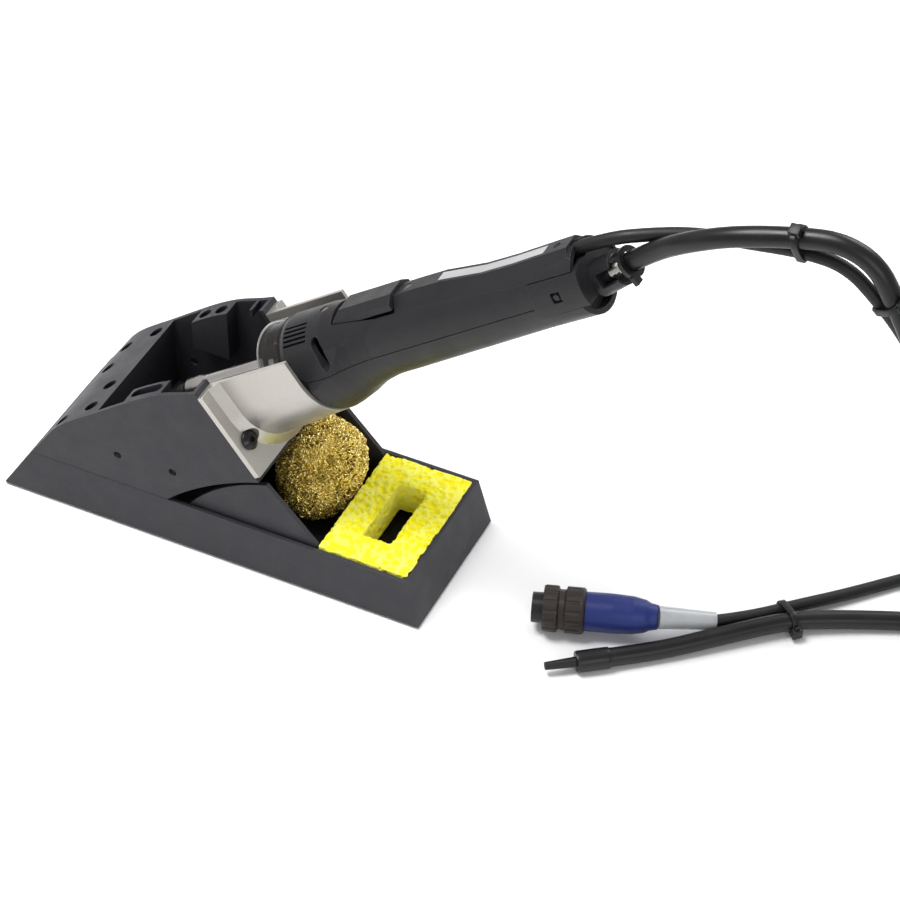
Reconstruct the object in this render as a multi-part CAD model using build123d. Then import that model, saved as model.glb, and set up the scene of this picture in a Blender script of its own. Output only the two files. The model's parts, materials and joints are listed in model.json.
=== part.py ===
"""Bench stand with a vacuum desoldering iron, its lead, its hose, a wiping sponge and a brass wool pad.

The frame: X runs from the nose of the stand towards the back of the iron, Y across it, Z up.
The origin is on the bench, under the middle of the base tray.
"""
import os
from math import cos, pi, radians, sin, tan

from build123d import *

# ---- driving dimensions, in mm and degrees
tray_length = 240.0
tray_width = 84.0
rim_height = 27.3
tray_wall = 2.2
tray_floor = 2.0
nose_run = 18.0
end_draft = 6.6
side_draft = 1.3
foot_height = 1.5
foot_radius = 6.0

housing_inset = 1.45
housing_wall = 2.4
housing_top = 16.8
bin_front = 58.0
tip_hole_radius = 3.5
side_hole_radius = 2.2

tilt_angle = 36.0
face_distance = 159.5
plate_thickness = 3.0
plate_top = 14.0
plate_bottom = -37.0
trough_radius = 28.4
trough_wall = 2.1
trough_end = 213.0

tube_radius = 18.2
tube_drop = 2.3
tube_wall = 2.8
nose_radius = 21.0
barrel_radius = 5.0
handle_end = 381.0

button_half_width = 10.5
button_start = 234.0
button_end = 273.0
button_travel = 1.5
label_thickness = 0.7

sponge_start = 182.3
sponge_length = 48.0
sponge_thickness = 20.0
wool_radius = 24.2
wool_height = 27.2

cord_diameter = 6.3
hose_diameter = 9.5
cord_coil_radius = 35.0
hose_coil_radius = 53.0
tie_width = 3.2
tie_thickness = 1.3

fit_gap = 0.1
free_gap = 0.4

# ---- places worked out from the sizes
tilt = radians(tilt_angle)
tray_half = tray_width / 2
housing_half = tray_half - housing_inset
bin_half = housing_half - housing_wall
plate_half = tray_half - 1.0
face_front = face_distance + plate_thickness
screw_across = plate_half - 8.7
screw_height = -19.8
shank_radius = 2.5
shank_hole_radius = shank_radius + 0.1
button_head_radius = 5.0
shelf_height = 9.0


def at(distance):
    """X of a place that far behind the nose of the tray."""
    return distance - tray_length / 2


def up(height):
    """Z of a place that far above the underside of the tray."""
    return foot_height + height


def spot(distance, across, height):
    return Vector(at(distance), across, up(height))


def on_face(along, across_face):
    """Distance and height of a point given along and across the iron's axis."""
    distance = along * cos(tilt) - across_face * sin(tilt)
    height = along * sin(tilt) + across_face * cos(tilt)
    return distance, height


hand = Plane(origin=(at(0), 0, up(0)), x_dir=(0, 1, 0), z_dir=(cos(tilt), 0, sin(tilt)))

nodes = {}


def add(name, shape):
    """Keep one sub-part under its node name."""
    shape.label = name
    nodes[name] = shape


def joined(shapes):
    """One shape of several solids or of pieces fused into one."""
    result = shapes[0]
    for shape in shapes[1:]:
        result = result + shape
    return result


def side_face(edges):
    """A face in the stand's side plane, from edges in distance and height."""
    plane = Plane(origin=(at(0), 0, up(0)), x_dir=(1, 0, 0), z_dir=(0, -1, 0))
    return plane * make_face(edges)


def across_box(x_low, x_high, y_low, y_high, z_low, z_high):
    """A box from its sides, in distance, width and height."""
    size = Box(x_high - x_low, y_high - y_low, z_high - z_low)
    middle = (at((x_low + x_high) / 2), (y_low + y_high) / 2, up((z_low + z_high) / 2))
    return Pos(*middle) * size


def post(distance, across, low, high, radius):
    body = Cylinder(radius, high - low)
    return Pos(at(distance), across, up((low + high) / 2)) * body


# ---- base tray, feet and screws
def tray_section(height, inset, floor_inset):
    """The tray's outline at a height, moved in by a wall."""
    share = height / rim_height
    front = nose_run * share + floor_inset
    back = tray_length - end_draft * share - inset
    half = tray_half - side_draft * share - inset
    outline = Rectangle(back - front, 2 * half)
    return Pos(at((front + back) / 2), 0, up(height)) * outline


def tray_solid(low, high, inset, front_inset):
    sections = [tray_section(low, inset, front_inset), tray_section(high, inset, front_inset)]
    return loft(sections, ruled=True)


boss_places = [(distance, side * 27.0) for distance in (44.0, 90.0) for side in (-1, 1)]
foot_places = [(24.0, side * (tray_half - 9)) for side in (-1, 1)]
foot_places += [(tray_length - 16.0, side * (tray_half - 9)) for side in (-1, 1)]
boss_radius = 4.5
screw_radius = 1.5
screw_head_radius = 3.2
screw_head_depth = 1.6


def cheek(side):
    """A side wall of the wool well, standing inside the rim."""
    outer = housing_half - housing_wall - free_gap
    edges = [
        Line((109, tray_floor), (109, 26)),
        ThreePointArc((109, 26), (127.5, 44.6), (155, 58.3)),
        Line((155, 58.3), (sponge_start - 0.4, 28.5)),
        Line((sponge_start - 0.4, 28.5), (sponge_start - 0.4, tray_floor)),
        Line((sponge_start - 0.4, tray_floor), (109, tray_floor)),
    ]
    wall = extrude(side_face(edges), 2.4)
    return Pos(0, side * (outer - 1.2) + 1.2, 0) * wall


def make_tray():
    slope = tray_wall * 1.9
    tray = tray_solid(0, rim_height, 0, 0)
    tray -= tray_solid(tray_floor, rim_height + 3, tray_wall, slope)
    tray += cheek(1)
    tray += cheek(-1)
    inner_half = tray_half - tray_wall - side_draft
    shelf_end = tray_length - end_draft - tray_wall
    for side in (-1, 1):
        low, high = sorted((side * 29.0, side * inner_half))
        tray += across_box(sponge_start - 0.3, shelf_end, low, high, tray_floor, shelf_height)
    tray += across_box(sponge_start - 2.6, sponge_start - 0.4, -inner_half, inner_half, tray_floor, 12)
    for distance, across in boss_places:
        tray += post(distance, across, tray_floor, rim_height, boss_radius)
    for distance, across in boss_places:
        tray -= post(distance, across, 0, rim_height, screw_radius + fit_gap)
        tray -= post(distance, across, 0, screw_head_depth + fit_gap, screw_head_radius + fit_gap)
    return tray


def make_feet():
    return joined([post(x, y, -foot_height, 0, foot_radius) for x, y in foot_places])


def make_housing_screws():
    screws = []
    for distance, across in boss_places:
        shank = post(distance, across, screw_head_depth, rim_height + housing_wall, screw_radius)
        head = post(distance, across, fit_gap, screw_head_depth, screw_head_radius)
        screws.append(shank + head)
    return joined(screws)


# ---- tip housing: the charcoal wedge with the storage bin
def housing_outline(wall):
    """The housing's side, or the hollow inside its wall."""
    top = on_face(face_distance, housing_top)
    crown = [(31, 46), (52.5, 65.3), (77, 83.8), (102, 99.6), top]
    before = [(nose_run, rim_height)] + crown[:-1]
    after = crown[1:] + [(top[0] + 17, top[1] + 7)]
    line = []
    for last, point, following in zip(before, crown, after):
        run = Vector(*following) - Vector(*last)
        line.append((point[0] + wall * run.Y / run.length, point[1] - wall * run.X / run.length))
    line[-1] = on_face(face_distance - wall, housing_top - wall * 0.9)
    ends = [(crown[0][0] - nose_run, crown[0][1] - rim_height), (0.86, 0.51)]
    base = rim_height + wall
    nose = (nose_run + 0.3 + wall * 1.9, base)
    low_corner = on_face(face_distance - wall, plate_bottom - 2.7 + wall * 1.1)
    heel = (98 - wall * 0.6, base)
    belly = (121 - wall * 0.6, 45.8 + wall * 0.8)
    return make_face([Line(nose, line[0]), Spline(*line, tangents=ends), Line(line[-1], low_corner),
                      ThreePointArc(low_corner, belly, heel), Line(heel, nose)])


def trough_outline(radius, middle, top):
    """A U across the iron's axis, open at the top edge."""
    return make_face([
        ThreePointArc((-radius, middle), (0, middle - radius), (radius, middle)),
        Line((radius, middle), (radius, top)),
        Line((radius, top), (-radius, top)),
        Line((-radius, top), (-radius, middle)),
    ])


def in_hand(shape, along=0.0):
    """Set a shape drawn across the axis at a distance along it."""
    return hand * (Pos(0, 0, along) * shape)


def across_hole(distance, across, height, depth):
    hole = Rot(90, 0, 0) * Cylinder(side_hole_radius, depth)
    return Pos(at(distance), across, up(height)) * hole


tip_holes = [(34.8, -34.2), (36.6, 8.7), (37, 27), (51.6, -31), (52, -13.4), (53.6, 31)]
cross_holes = [(70.8, 46.7), (102.7, 48)]


def make_housing():
    plane = Plane(origin=(at(0), 0, up(0)), x_dir=(1, 0, 0), z_dir=(0, -1, 0))
    outside = extrude(plane * housing_outline(0), housing_half, both=True)
    bin_back = face_distance - housing_wall
    mouth = make_face(Polyline((bin_front + housing_wall, 55), (bin_front + housing_wall, 130),
                               on_face(bin_back, 50), on_face(bin_back, -20), close=True))
    hollow = housing_outline(housing_wall) + mouth
    housing = outside - extrude(plane * hollow, bin_half, both=True)
    housing += across_box(bin_front, bin_front + housing_wall, -bin_half, bin_half, 28, 68)
    for distance, across in tip_holes:
        housing += outside & post(distance, across, rim_height, 80, tip_hole_radius + 1.6)
        housing -= post(distance, across, 33, 80, tip_hole_radius)
    shelf = across_box(76, 98, -bin_half, 10.2 - bin_half, 72, 110)
    block = across_box(77.5, 98.5, bin_half - 10.4, bin_half, 67, 110)
    housing += outside & (shelf + block)
    slot_middle = 5.2 - bin_half
    slot = Pos(at(87), slot_middle, up(92)) * extrude(SlotOverall(18, 6.4), 20, both=True)
    housing -= slot
    for distance in (82.8, 92.5):
        housing -= post(distance, bin_half - 5.2, 70, 110, 3.3)
    hook = across_box(110.5, 112.2, bin_half - 8, bin_half, 99, 110)
    housing += outside & hook
    housing -= in_hand(extrude(trough_outline(trough_radius, -4.2, 60), 8), face_distance - 6)
    for distance, height in cross_holes:
        housing -= across_hole(distance, -tray_half, height, tray_half)
        housing -= across_hole(distance, bin_half, height, housing_wall)
    floor_top = rim_height + housing_wall
    for distance, across in boss_places:
        housing -= post(distance, across, rim_height - 1, floor_top + 1, screw_radius + fit_gap)
    return housing - shank_holes()


def shank_holes():
    """Clearance for the two screws that hold the bracket to the housing."""
    holes = [Pos(side * screw_across, screw_height) * Cylinder(shank_hole_radius, 20) for side in (-1, 1)]
    return joined([in_hand(hole, face_distance) for hole in holes])


# ---- holder bracket: a plate with a trough for the iron
def make_bracket():
    plate_height = plate_top - plate_bottom
    plate = Rectangle(2 * plate_half, plate_height)
    plate = Pos(0, (plate_top + plate_bottom) / 2) * fillet(plate.vertices(), 1)
    bracket = in_hand(extrude(plate, plate_thickness), face_distance)
    outer = trough_radius + trough_wall
    skin = loft([in_hand(trough_outline(outer, -4.2, plate_top), face_distance),
                 in_hand(trough_outline(outer, 0, plate_top), trough_end)], ruled=True)
    collar = loft([in_hand(trough_outline(outer + 4, -4.2, plate_top), face_front - 0.01),
                   in_hand(trough_outline(outer, -3.8, plate_top), face_front + 5)], ruled=True)
    bracket += skin
    bracket += collar
    bracket -= loft([in_hand(trough_outline(trough_radius, -4.28, plate_top + 5), face_distance - 1),
                     in_hand(trough_outline(trough_radius, 0.08, plate_top + 5), trough_end + 1)], ruled=True)
    head_room = Cylinder(button_head_radius + 0.3, 12)
    for side in (-1, 1):
        bracket -= in_hand(Pos(side * screw_across, screw_height, 6) * head_room, face_front)
    return bracket - shank_holes()


def make_bracket_screws():
    screws = []
    seated = (Align.CENTER, Align.CENTER, Align.MIN)
    for side in (-1, 1):
        head = Cylinder(button_head_radius, 1.4, align=seated)
        dome = Pos(0, 0, 1.4) * Cone(button_head_radius, 3.2, 1.4, align=seated)
        shank = Pos(0, 0, -8) * Cylinder(shank_radius, 8, align=seated)
        socket = Pos(0, 0, 1.2) * extrude(RegularPolygon(1.75, 6), 3)
        screw = head + dome + shank - socket
        screws.append(in_hand(Pos(side * screw_across, screw_height) * screw, face_front))
    return joined(screws)


# ---- sponge and brass wool
def make_sponge():
    half = tray_half - tray_wall - side_draft - 0.7
    slab = across_box(sponge_start, sponge_start + sponge_length, -half, half,
                      shelf_height, shelf_height + sponge_thickness)
    slab -= across_box(199, 214, -20, 20, shelf_height - 1, shelf_height + sponge_thickness + 1)
    return slab


def make_wool():
    """A ball of wool, a little taller than it is wide, as a turned outline."""
    bulge = [(0, wool_height), (wool_radius * 0.73, wool_height * 0.70), (wool_radius, 0),
             (wool_radius * 0.73, -wool_height * 0.70), (0, -wool_height)]
    outline = make_face([Spline(*bulge, tangents=[(1, 0), (-1, 0)]), Line(bulge[-1], bulge[0])])
    ball = revolve(Plane.XZ * outline, Axis.Z)
    return Pos(at(157.5), 8.5, up(tray_floor + wool_height + 0.3)) * ball


# ---- the iron, drawn along its own axis
def turned(points, drop=0.0):
    """A solid of revolution about the iron's axis, from radius and place along it."""
    outline = make_face(Plane.XZ * Polyline(*points, close=True))
    return in_hand(Pos(0, -drop, 0) * revolve(outline, Axis.Z))


def ring(outer, inner, start, end, drop=0.0):
    points = [(inner, start), (outer, start), (outer, end), (inner, end)]
    return turned(points, drop)


def rod(radius, start, end, drop=0.0):
    return turned([(0, start), (radius, start), (radius, end), (0, end)], drop)


def hand_box(width, low, high, start, end, middle=0.0):
    """A box about the axis: its width, and its sides across and along it."""
    size = Box(width, high - low, end - start)
    return in_hand(Pos(middle, (low + high) / 2, (start + end) / 2) * size)


def hand_side(edges, half_width):
    """A prism across the iron, from edges given along and across its axis."""
    plane = Plane(origin=(0, 0, 0), x_dir=(0, 0, 1), z_dir=(-1, 0, 0))
    return hand * extrude(plane * make_face(edges), half_width, both=True)


def hand_profile(points, start, end):
    """A prism along the axis, from points given across it."""
    return in_hand(extrude(make_face(Polyline(*points, close=True)), end - start), start)


seam = -tube_drop
shell_start = 199.5
bore_radius = nose_radius - 3.2
tube_bore = tube_radius - tube_wall
neck_radius = 12.0
chamber_start = 279.0
chamber_end = 367.0


spine_sections = [
    (226, 17.0, 9.0, 14.0), (250, 18.9, 10.4, 13.6), (285, 19.4, 10.8, 13.0), (302, 19.2, 11.5, 12.2),
    (314, 17.9, 12.1, 11.5), (326, 16.6, 12.6, 10.8), (345, 16.3, 13.4, 9.6), (379, 17.0, 13.8, 8.8),
]
spine_half = 5.0
shell_screw_places = ((225.5, 19.4), (279.5, 17.9))
shell_screw_radius = 2.2
label_half = 3.1
label_start = 301.0
label_end = 364.0
cap_start = 355.0
cap_low = -8.0
cap_high = 9.0
cap_gap = 0.3
lower_end = 378.5
vent_angles = (20, 26.5, 33, 39.5, 46)
seam_widths = [(199.5, 20.3), (202, 20.9), (209, 24), (213, 25.3), (216, 25.6), (222, 25.6), (228.5, 24.8),
               (235, 22.4), (241, 20.7), (248, 19.6), (262, 19.1), (318, 18.2), (350, 17.7), (354, 17.72)]
groove_width = 0.4
groove_depth = 0.5
plug_tilt = 9.8
plug_radius = 8.8
plug_length = 13.5
spigot_radius = 3.0
latch_rise = 0.6
latch_along = 369.2
latch_half = 2.6
hose_start = plug_length + 3.6


def spine(sink=0.0):
    """The raised roof of the handle: a flat top with a dip, and sloping flanks."""
    faces = []
    for along, top, half, low in spine_sections:
        outline = [(-spine_half, top - sink), (spine_half, top - sink), (half, low - sink), (half, 0),
                   (-half, 0), (-half, low - sink)]
        faces.append(in_hand(make_face(Polyline(*outline, close=True)), along))
    return loft(faces, ruled=True)


def label_strip(half_width, start, end):
    """The thin strip of the spine's top that the label fills."""
    strip = spine() & hand_box(2 * half_width, 10, 30, start, end)
    return strip - spine(label_thickness)


def bell():
    """The flared hip that rests against the trough, flattened on its shoulders."""
    hip = turned([(0, shell_start), (20.4, shell_start), (21, 203), (24, 209), (25.3, trough_end - 0.2),
                  (25.3, trough_end + free_gap), (28.0, trough_end + free_gap + 0.4), (28.2, 216),
                  (27.3, 220), (24.9, 228.5), (22.4, 235), (20.7, 241), (19.6, 248), (18.2, 262),
                  (0, 262)], tube_drop)
    shoulders = [(-40, -40), (40, -40), (40, -28), (27.8, -6), (19, 9)]
    shoulders += [(-across, rise) for across, rise in reversed(shoulders[2:])]
    return hip & hand_profile(shoulders, shell_start - 1, 264)


def handle_envelope():
    nose = turned([(0, shell_start), (20.4, shell_start), (nose_radius, 202), (nose_radius, 226),
                   (19.4, 240), (17, 262), (0, 262)])
    tube = turned([(0, 235), (tube_radius + 1, 240), (tube_radius + 0.8, 266), (tube_radius, 318),
                   (tube_radius - 0.5, 350), (tube_radius - 0.2, handle_end), (0, handle_end)], tube_drop)
    return nose + bell() + tube + spine()


def handle_hollow():
    hollow = rod(bore_radius, shell_start - 1, 244)
    hollow += rod(neck_radius, 243, chamber_start - 4, tube_drop)
    hollow += rod(tube_bore, chamber_start - 5, handle_end + 1, tube_drop)
    return hollow


def cap_zone(inner, outer, gap=0.0):
    """The wrap of the rear cap: two cheeks of a sleeve, below the spine's flanks."""
    sleeve = ring(outer, inner, cap_start + gap, handle_end + 3, tube_drop)
    return sleeve & hand_box(60, cap_low + gap, cap_high - gap, cap_start + gap, handle_end + 5)


def parting_groove():
    """A shallow groove along both sides, where the two shells meet."""
    plane = Plane(origin=(0, seam - groove_width / 2, 0), x_dir=(1, 0, 0), z_dir=(0, 1, 0))
    grooves = []
    for side in (-1, 1):
        inner = [(side * (half - groove_depth), -along) for along, half in seam_widths]
        outer = [(side * (half + 4), -along) for along, half in reversed(seam_widths)]
        face = plane * make_face(Polyline(*inner, *outer, close=True))
        grooves.append(hand * extrude(face, groove_width, dir=(0, 1, 0)))
    return joined(grooves)


def button_outline(grow):
    half = button_half_width + grow
    return [(-half, 14.6 - grow), (half, 14.6 - grow), (half, 18 + grow), (6 + grow, 20.9 + grow),
            (-6 - grow, 20.9 + grow), (-half, 18 + grow)]


def make_handle():
    """Lower and upper shells, parted at the tube's middle."""
    shell = handle_envelope() - handle_hollow()
    shell -= cap_zone(tube_radius - 1.6, tube_radius + 6)
    shell -= parting_groove()
    pocket_low = 14.6 - button_travel - 0.4
    shell -= hand_box(2 * (button_half_width + 0.4), pocket_low, 30, button_start - 0.4, button_end + 0.4)
    shell -= hand_box(13.2, 5.6, pocket_low + 1, 246.5, 259.5)
    shell -= rod(cord_diameter / 2 + free_gap, 373.9, handle_end + 1, -12.7)
    shell -= label_strip(label_half + fit_gap, label_start - fit_gap, label_end + fit_gap)
    vent = Pos(0, nose_radius, 210) * Box(1.1, 4.6, 15.5)
    for angle in vent_angles:
        for side in (-1, 1):
            shell -= in_hand(Rot(0, 0, side * angle) * vent)
    window = Rot(0, 90, 0) * extrude(SlotOverall(15.5, 5.4, rotation=69), 60, both=True)
    shell -= in_hand(Pos(0, 7.6, 0) * window, 225.6)
    shell -= in_hand(Pos(0, 17.6, 371) * (Rot(90, 0, 0) * Cylinder(2, 2.4)))
    for along, top in shell_screw_places:
        shell -= in_hand(Pos(0, top - 1.3 + 6, along) * (Rot(90, 0, 0) * Cylinder(2.4, 12)))
    lower = shell & hand_box(90, -60, seam, shell_start - 2, lower_end)
    upper = shell & hand_box(90, seam, 40, shell_start - 2, handle_end + 5)
    return lower, upper


def largest(shape):
    """The main solid, without loose slivers of a cut."""
    return max(shape.solids(), key=lambda solid: solid.volume)


def make_button():
    body = hand_profile(button_outline(0), button_start, button_end)
    ramp = hand_side([Line((button_start - 1, 15), (button_start - 1, 24)),
                      Line((button_start - 1, 24), (button_start + 8, 24)),
                      Line((button_start + 8, 24), (button_start - 1, 15))], 14)
    body -= ramp
    return body


def make_label():
    return largest(label_strip(label_half, label_start, label_end))


def make_shell_screws():
    screws = []
    for along, top in shell_screw_places:
        head = Pos(0, top, along) * (Rot(90, 0, 0) * Cylinder(2.2, 2.4))
        screws.append(in_hand(head))
    return joined(screws)


def make_ring_frame():
    """The frame behind the smoked ring, with windows between its ribs."""
    frame = ring(18.9, 17.2, 185.4, 197)
    for turn in range(8):
        window = Pos(18, 0, 191) * Box(6, 8, 7)
        frame -= in_hand(Rot(0, 0, 22.5 + 45 * turn) * window)
    neck = ring(18.9, 17.2, 196.9, 199.4) + ring(bore_radius - fit_gap, 15.6, 199.3, 207)
    return frame + neck + ring(18.9, 15.6, 197.5, 199.4)


def make_heater_coil():
    """A close wound coil, as one ridged sleeve."""
    points = [(11.6, 186.5)]
    for turn in range(6):
        points += [(13.0, 187.2 + 3 * turn), (14.4, 188.2 + 3 * turn), (13.0, 189.2 + 3 * turn)]
    points += [(11.6, 205.5)]
    return turned(points)


def make_barrel():
    collar = barrel_radius + 0.7
    return turned([(1.6, 112), (4.4, 112), (collar, 115), (collar, 123), (barrel_radius, 126),
                   (barrel_radius, chamber_start - 5), (1.6, chamber_start - 5)])


def make_nozzle():
    return turned([(0.8, 97), (1.6, 97), (3.6, 106), (4.3, 111.9), (0.8, 111.9)])


def make_cap():
    """The rear cap: two cheeks joined by an end wall that the hose plug goes through."""
    cap = cap_zone(tube_radius - 1.5, tube_radius + 0.1, cap_gap)
    zone = hand_box(60, cap_low, cap_high, handle_end - 12, handle_end + 9)
    wall = rod(tube_bore - 0.2, handle_end - 3, handle_end + 2, tube_drop)
    rim = ring(tube_radius - 1.4, tube_bore - 1, handle_end + 0.1, handle_end + 2, tube_drop)
    cap += (rim + wall) & zone
    cap -= tilted(Pos(0, 0, -4) * Cylinder(spigot_radius + 1, 20))
    low, high = latch_rise - latch_half, latch_rise + latch_half
    for side in (-1, 1):
        cap -= hand_box(6, low, high, latch_along - latch_half, latch_along + latch_half, side * tube_radius)
    return largest(cap)


def make_latch_posts():
    posts = []
    for side in (-1, 1):
        core = Rot(0, 90, 0) * Cylinder(1.6, 1.2)
        posts.append(in_hand(Pos(side * (tube_radius - 0.95), latch_rise, latch_along) * core))
    return joined(posts)


def tilted(shape):
    """Place a rear fitting on its own axis, turned up from the handle's."""
    return in_hand(Pos(0, -4.6, handle_end + 2) * (Rot(-plug_tilt, 0, 0) * shape))


def lathe(points):
    return revolve(make_face(Plane.XZ * Polyline(*points, close=True)), Axis.Z)


def make_plug():
    """The slanted hose plug, hollow at its mouth, with a slot in each side that shows the spigot."""
    bore = spigot_radius + fit_gap
    body = lathe([(bore, -6), (plug_radius, -6), (plug_radius, plug_length), (plug_radius - 1.2, plug_length),
                  (4.6, plug_length - 7), (bore, plug_length - 7)])
    slot_start = plug_length - 9.5
    slot = Pos(0, 1, slot_start) * Box(2 * plug_radius, 7, 12, align=(Align.CENTER, Align.CENTER, Align.MIN))
    core = Cylinder(spigot_radius + 1.3, 40)
    return tilted(body - (slot - core)) - hand_box(60, -40, 40, 300, handle_end + 2)


def make_spigot():
    points = [(1.8, 1.8), (spigot_radius, 1.8)]
    for barb in range(3):
        start = plug_length - 5.6 + 3 * barb
        points += [(spigot_radius, start), (spigot_radius + 1.1, start + 0.3), (spigot_radius, start + 2.8)]
    points += [(1.8, plug_length + 3.4)]
    return tilted(lathe(points))


def make_clip():
    inner = hose_diameter / 2 + free_gap
    low = hose_start + 0.8
    hoop = lathe([(inner, low), (inner + 2.6, low), (inner + 2.6, low + 2.2), (inner, low + 2.2)])
    tab = Pos(-4.6, -7.0, low + 1.1) * Box(4.4, 4.4, 2.2)
    return tilted(hoop + tab - Cylinder(inner, 60))


# ---- lead and hose
cord_floor = cord_diameter / 2 + fit_gap - foot_height
hose_floor = hose_diameter / 2 + fit_gap - foot_height
cord_coil_place = (537.0, 135.5)
hose_coil_place = (536.0, 36.0)
cord_coil_angles = (-90.0, 134.6 + 720)
hose_coil_angles = (-90.0, 106.0 + 360)
cord_pitch = cord_diameter * 1.03
hose_pitch = hose_diameter * 1.02

cord_exit = on_face(374, 12.7)
cord_down = [
    (cord_exit[0], 0, cord_exit[1]), (313, 1.0, 243), (331.5, 6.2, 248.2), (353.2, 7.2, 255.6),
    (378.6, 4.0, 262), (404, 0.5, 269), (424.5, 0.2, 268.4), (440.3, 0.8, 253.8), (452, 2.2, 239),
    (461.5, 4.8, 221), (468.5, 9, 198), (473.5, 17, 167.5), (478, 28.5, 132.5), (483.5, 43.8, 97),
    (490, 60.5, 67), (502, 78.5, 43.5), (517.5, 93, 28), (537, 100.5, 18.78),
]
cord_back = [
    (512.43, 160.42, 1.75), (491, 139.4, 1.75), (468, 116, 1.75), (445, 93.6, 1.75), (423.5, 70.6, 2.4),
    (402, 49.2, 3.7), (385.5, 32.6, 4.3), (372.2, 21.3, 6.0),
]
hose_down = [
    (0, 0, 0), (336.2, 0, 245.2), (355, -5.2, 261.0), (377, -6.4, 272.8), (403, -1.6, 277.6),
    (421.5, -0.6, 280.6), (437.5, -0.5, 274.3), (447.4, -1.0, 258.2), (458.5, -3.2, 240.2), (469, -5.8, 212),
    (476, -8.6, 177), (482, -12, 138), (488.5, -15.2, 98), (495.5, -16.6, 65), (506, -17.2, 41),
    (520, -17.3, 25.8), (536, -17.0, 18.3),
]
hose_back = [
    (521.39, 86.95, 3.35), (488, 76.6, 3.35), (455.5, 64.8, 3.35), (427, 51.4, 4.0), (405, 38.6, 5.3),
    (383, 19.0, 4.9), (360.5, -1.4, 3.6), (346, -13.2, 3.6), (334.3, -22.4, 4.1),
]


def route(points):
    return [spot(*point) for point in points]


def bend_radii(points):
    """The largest arc that the runs beside each corner leave room for."""
    radii = []
    for before, corner, after in zip(points, points[1:], points[2:]):
        first = corner - before
        second = after - corner
        turn = radians(first.get_angle(second))
        radii.append(0.45 * min(first.length, second.length) / tan(turn / 2))
    return radii


def cord_path(points):
    return FilletPolyline(*points, radius=bend_radii(points))


def tube_along(name, points, diameter):
    radii = bend_radii(points)
    path = cord_path(points)
    start = Plane(origin=points[0], z_dir=points[1] - points[0])
    tube = sweep(start * Circle(diameter / 2), path=path)
    section = pi * diameter ** 2 / 4
    share = tube.volume / (section * path.length)
    print(name, "length", round(path.length, 1), "volume share", round(share, 4),
          "radii", [round(radius) for radius in radii])
    return tube


def coil_solid(place, radius, diameter, angles, pitch, floor_height):
    """The outer shape of a stack of turns: one ring."""
    turns = (angles[1] - angles[0]) / 360
    top = floor_height + turns * pitch + diameter / 2
    low = floor_height - diameter / 2
    outline = Circle(radius + diameter / 2) - Circle(radius - diameter / 2)
    return Pos(at(place[0]), place[1], up(low)) * extrude(outline, top - low)


# ---- plug and hose end, lying on the bench
connector_axis = Plane(origin=spot(288.7, -13.5, 10.8), x_dir=(0, 0, 1), z_dir=(0.945, 0.328, 0))
boot_end = spot(347.4, 6.9, 10.8)
sleeve_end = spot(*cord_back[-1])
nozzle_axis = Plane(origin=spot(308.4, -41.4, 4.1), x_dir=(0, 0, 1), z_dir=(0.807, 0.591, 0))


def make_insert():
    body = lathe([(0, 5.2), (5.4, 5.2), (5.4, 0.6), (6.4, 0.6), (6.4, 0), (7.6, 0), (7.6, 7), (8.6, 7),
                  (8.6, 25), (0, 25)])
    return connector_axis * body


def make_pins():
    pins = [Pos(3.2 * cos(pi / 3 * turn), 3.2 * sin(pi / 3 * turn), 3) for turn in range(6)]
    pins.append(Pos(0, 0, 3))
    return joined([connector_axis * (place * Cylinder(0.6, 4.4)) for place in pins])


def make_coupling():
    body = lathe([(8.7, 5.6), (11.2, 5.6), (11.6, 6.6), (11.6, 12.6), (9.9, 13.4), (9.9, 16.2), (11.6, 17),
                  (11.6, 25.2), (10.8, 26.2), (8.7, 26.2)])
    for turn in range(14):
        groove = Rot(0, 0, 360 / 14 * turn) * (Pos(12.3, 0, 9) * Cylinder(1.3, 30))
        body -= groove
    return connector_axis * body


def make_boot():
    body = lathe([(0, 26.4), (9.8, 26.4), (9.9, 40), (9.4, 50), (8.2, 56), (6.8, 58.6), (6.1, 62.1),
                  (0, 62.1)])
    return connector_axis * (body + Pos(0, 0, 25.7) * Cylinder(8.4, 1.4))


def make_sleeve():
    """The clear strain relief, from the boot down to the lead."""
    axis = sleeve_end - boot_end
    start = Plane(origin=boot_end, z_dir=axis)
    length = axis.length
    cone = Cone(5.8, 4.4, length, align=(Align.CENTER, Align.CENTER, Align.MIN))
    bite = connector_axis * (Pos(0, 0, 42.15) * Cylinder(9.5, 40))
    return start * cone - bite


def make_hose_collar():
    points = [(0, 15.6), (5.2, 15.6), (5.5, 16.4), (5.5, 31.0), (5.3, 32.2), (0, 32.2)]
    return nozzle_axis * lathe(points)


def make_hose_nozzle():
    return nozzle_axis * lathe([(1.1, 0), (2.0, 0), (2.75, 15.5), (1.1, 15.5)])


def tie_face(reach, gap):
    """The outline round a lead and a hose that lie side by side, a gap outside them."""
    lead_circle = Pos(-reach / 2, 0) * Circle(cord_diameter / 2 + gap)
    hose_circle = Pos(reach / 2, 0) * Circle(hose_diameter / 2 + gap)
    return make_hull(lead_circle.edges() + hose_circle.edges())


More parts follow.
